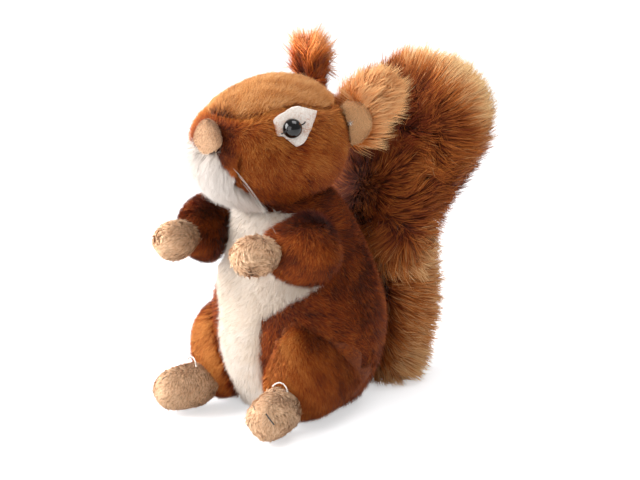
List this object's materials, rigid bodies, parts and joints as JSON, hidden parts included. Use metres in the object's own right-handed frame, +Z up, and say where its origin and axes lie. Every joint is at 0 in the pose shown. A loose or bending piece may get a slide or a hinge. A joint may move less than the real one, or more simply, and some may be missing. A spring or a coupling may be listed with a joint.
{
  "type": "plush squirrel",
  "caption": "Soft toy squirrel sitting up, stuffed body in short and long pile with panelled front, velour paws and a tall brush of a tail.",
  "frame": {"origin": "on the ground under the middle of the seat", "axes": "+Z up, the squirrel faces -Y, +X is its own left side"},
  "size_m": [0.0912, 0.1696, 0.1567],
  "materials": {
    "rust_pile": "short plush pile, rust",
    "cream_pile": "short plush pile, cream",
    "golden_pile": "short plush pile, golden tan",
    "white_pile": "short plush pile, white",
    "velour": "napped velour, beige",
    "felt": "pressed felt, off-white",
    "black_eye": "polished black dome",
    "ear_pile": "long pile, orange with pale tips",
    "tail_pile": "long pile, rust with pale tips",
    "white_thread": "twisted thread, white",
    "black_thread": "twisted thread, black",
    "whisker_nylon": "clear white monofilament"
  },
  "bodies": {
    "root": {"body": "rust_pile", "belly_panel": "cream_pile", "head": "rust_pile", "crown_panel": "golden_pile", "muzzle": "white_pile", "nose": "velour", "eye_patch_L": "felt", "eye_patch_R": "felt", "eye_L": "black_eye", "eye_R": "black_eye", "ear_L": "ear_pile", "ear_R": "ear_pile", "inner_ear_L": "velour", "inner_ear_R": "velour", "arm_L": "rust_pile", "arm_R": "rust_pile", "hand_L": "velour", "hand_R": "velour", "haunch_L": "rust_pile", "haunch_R": "rust_pile", "foot_L": "velour", "foot_R": "velour", "tail": "tail_pile", "ear_tack_L": "white_thread", "ear_tack_R": "white_thread", "toe_stitch_L1": "black_thread", "toe_stitch_L2": "black_thread", "toe_stitch_R1": "black_thread", "toe_stitch_R2": "black_thread", "ankle_thread_L": "white_thread", "ankle_thread_R": "white_thread", "whisker_L1": "whisker_nylon", "whisker_L2": "whisker_nylon", "whisker_L3": "whisker_nylon", "whisker_R1": "whisker_nylon", "whisker_R2": "whisker_nylon", "whisker_R3": "whisker_nylon"}
  },
  "joints": []
}
